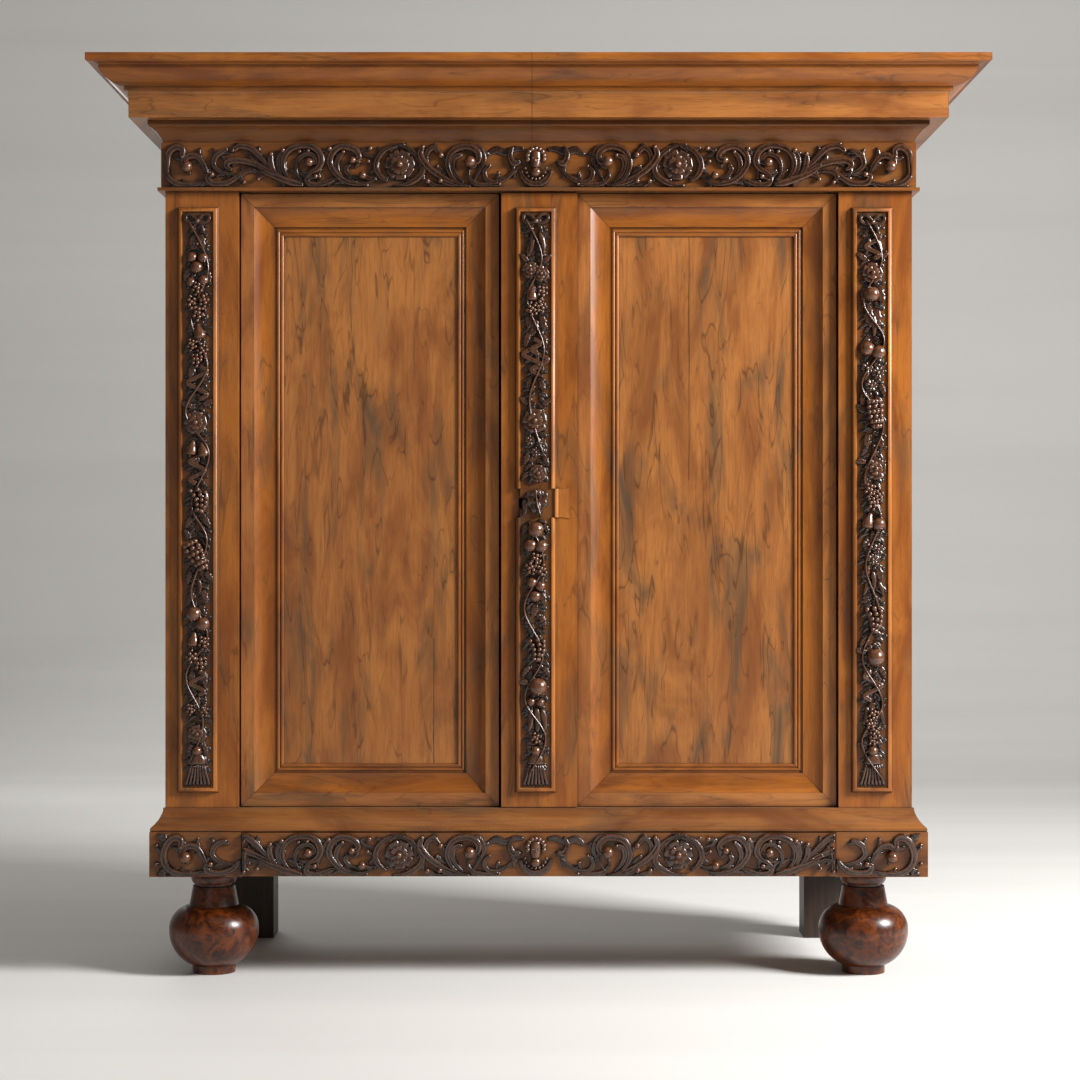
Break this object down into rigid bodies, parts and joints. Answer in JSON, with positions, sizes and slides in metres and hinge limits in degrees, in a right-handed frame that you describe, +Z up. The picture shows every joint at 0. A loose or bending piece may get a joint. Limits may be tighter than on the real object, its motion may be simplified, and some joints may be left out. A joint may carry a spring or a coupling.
{
  "type": "cupboard",
  "caption": "Framed walnut cupboard on turned ball feet, with a deep cornice, carved frieze and pilasters, panelled doors and a hidden plinth drawer.",
  "frame": {"origin": "on the floor, at the middle of the whole cupboard's box", "axes": "+Z up, +X to the right of someone who faces the doors, which look along -Y"},
  "size_m": [1.912, 0.746, 1.978],
  "materials": {
    "polished_walnut": "waxed, semi gloss",
    "figured_walnut_panel": "waxed, semi gloss",
    "dark_carved_walnut": "waxed carving",
    "burr_walnut": "polished",
    "oak_carcase": "raw, aged",
    "wrought_iron": "forged, dark",
    "bright_iron": "worn iron"
  },
  "bodies": {
    "case": {"back_boards": "oak_carcase", "base_back_rail": "oak_carcase", "base_front_rail": "polished_walnut", "base_moulding": "polished_walnut", "base_side_rails": "oak_carcase", "bed_moulding": "polished_walnut", "ceiling_boards": "oak_carcase", "corona": "polished_walnut", "crown": "polished_walnut", "drawer_runners": "oak_carcase", "dust_boards": "oak_carcase", "floor_boards": "oak_carcase", "foot_blocks": "oak_carcase", "frieze_front": "dark_carved_walnut", "frieze_returns": "polished_walnut", "front_ball_feet": "burr_walnut", "head_boards": "oak_carcase", "head_front_rail": "oak_carcase", "lower_shelf": "oak_carcase", "pilaster_field_left": "dark_carved_walnut", "pilaster_field_right": "dark_carved_walnut", "pilaster_left": "polished_walnut", "pilaster_right": "polished_walnut", "pivot_sockets": "wrought_iron", "plinth_back": "oak_carcase", "plinth_corners": "dark_carved_walnut", "plinth_sides": "polished_walnut", "rear_feet": "oak_carcase", "shelf_cleats": "oak_carcase", "side_panels_left": "figured_walnut_panel", "side_panels_right": "figured_walnut_panel", "side_rails_left": "polished_walnut", "side_rails_right": "polished_walnut", "side_stiles_left": "polished_walnut", "side_stiles_right": "polished_walnut", "upper_shelf": "oak_carcase"},
    "plinth_drawer": {"drawer_front": "dark_carved_walnut", "drawer_side_left": "oak_carcase", "drawer_side_right": "oak_carcase", "drawer_back": "oak_carcase", "drawer_bottom": "oak_carcase"},
    "left_door": {"left_door_stiles": "polished_walnut", "left_door_rails": "polished_walnut", "left_door_panel": "figured_walnut_panel", "left_door_moulding": "polished_walnut", "left_door_pins": "wrought_iron", "left_door_irons": "wrought_iron"},
    "right_door": {"right_door_stiles": "polished_walnut", "right_door_rails": "polished_walnut", "right_door_panel": "figured_walnut_panel", "right_door_moulding": "polished_walnut", "right_door_pins": "wrought_iron", "centre_pilaster": "polished_walnut", "centre_fields": "dark_carved_walnut", "lock_case": "wrought_iron"},
    "keyhole_cover": {"keyhole_cover": "dark_carved_walnut"},
    "lock_bolt": {"lock_bolt": "bright_iron"},
    "top_slide_bolt": {"top_slide_bolt": "bright_iron"},
    "bottom_slide_bolt": {"bottom_slide_bolt": "bright_iron"}
  },
  "joints": [
    {"name": "left_door_hinge", "type": "hinge", "parent": "case", "child": "left_door", "pos_m": [-0.6355, -0.205, 1.037], "axis": [0, 0, 1], "range_deg": [-100, 0]},
    {"name": "right_door_hinge", "type": "hinge", "parent": "case", "child": "right_door", "pos_m": [0.6355, -0.205, 1.037], "axis": [0, 0, 1], "range_deg": [0, 100]},
    {"name": "plinth_drawer_slide", "type": "slide", "parent": "case", "child": "plinth_drawer", "axis": [0, -1, 0], "range_m": [0, 0.36]},
    {"name": "keyhole_cover_slide", "type": "slide", "parent": "right_door", "child": "keyhole_cover", "axis": [1, 0, 0], "range_m": [-0.0075, 0.038]},
    {"name": "lock_bolt_slide", "type": "slide", "parent": "right_door", "child": "lock_bolt", "axis": [-1, 0, 0], "range_m": [0, 0.024]},
    {"name": "top_bolt_slide", "type": "slide", "parent": "left_door", "child": "top_slide_bolt", "axis": [0, 0, 1], "range_m": [0, 0.018]},
    {"name": "bottom_bolt_slide", "type": "slide", "parent": "left_door", "child": "bottom_slide_bolt", "axis": [0, 0, -1], "range_m": [0, 0.018]}
  ]
}
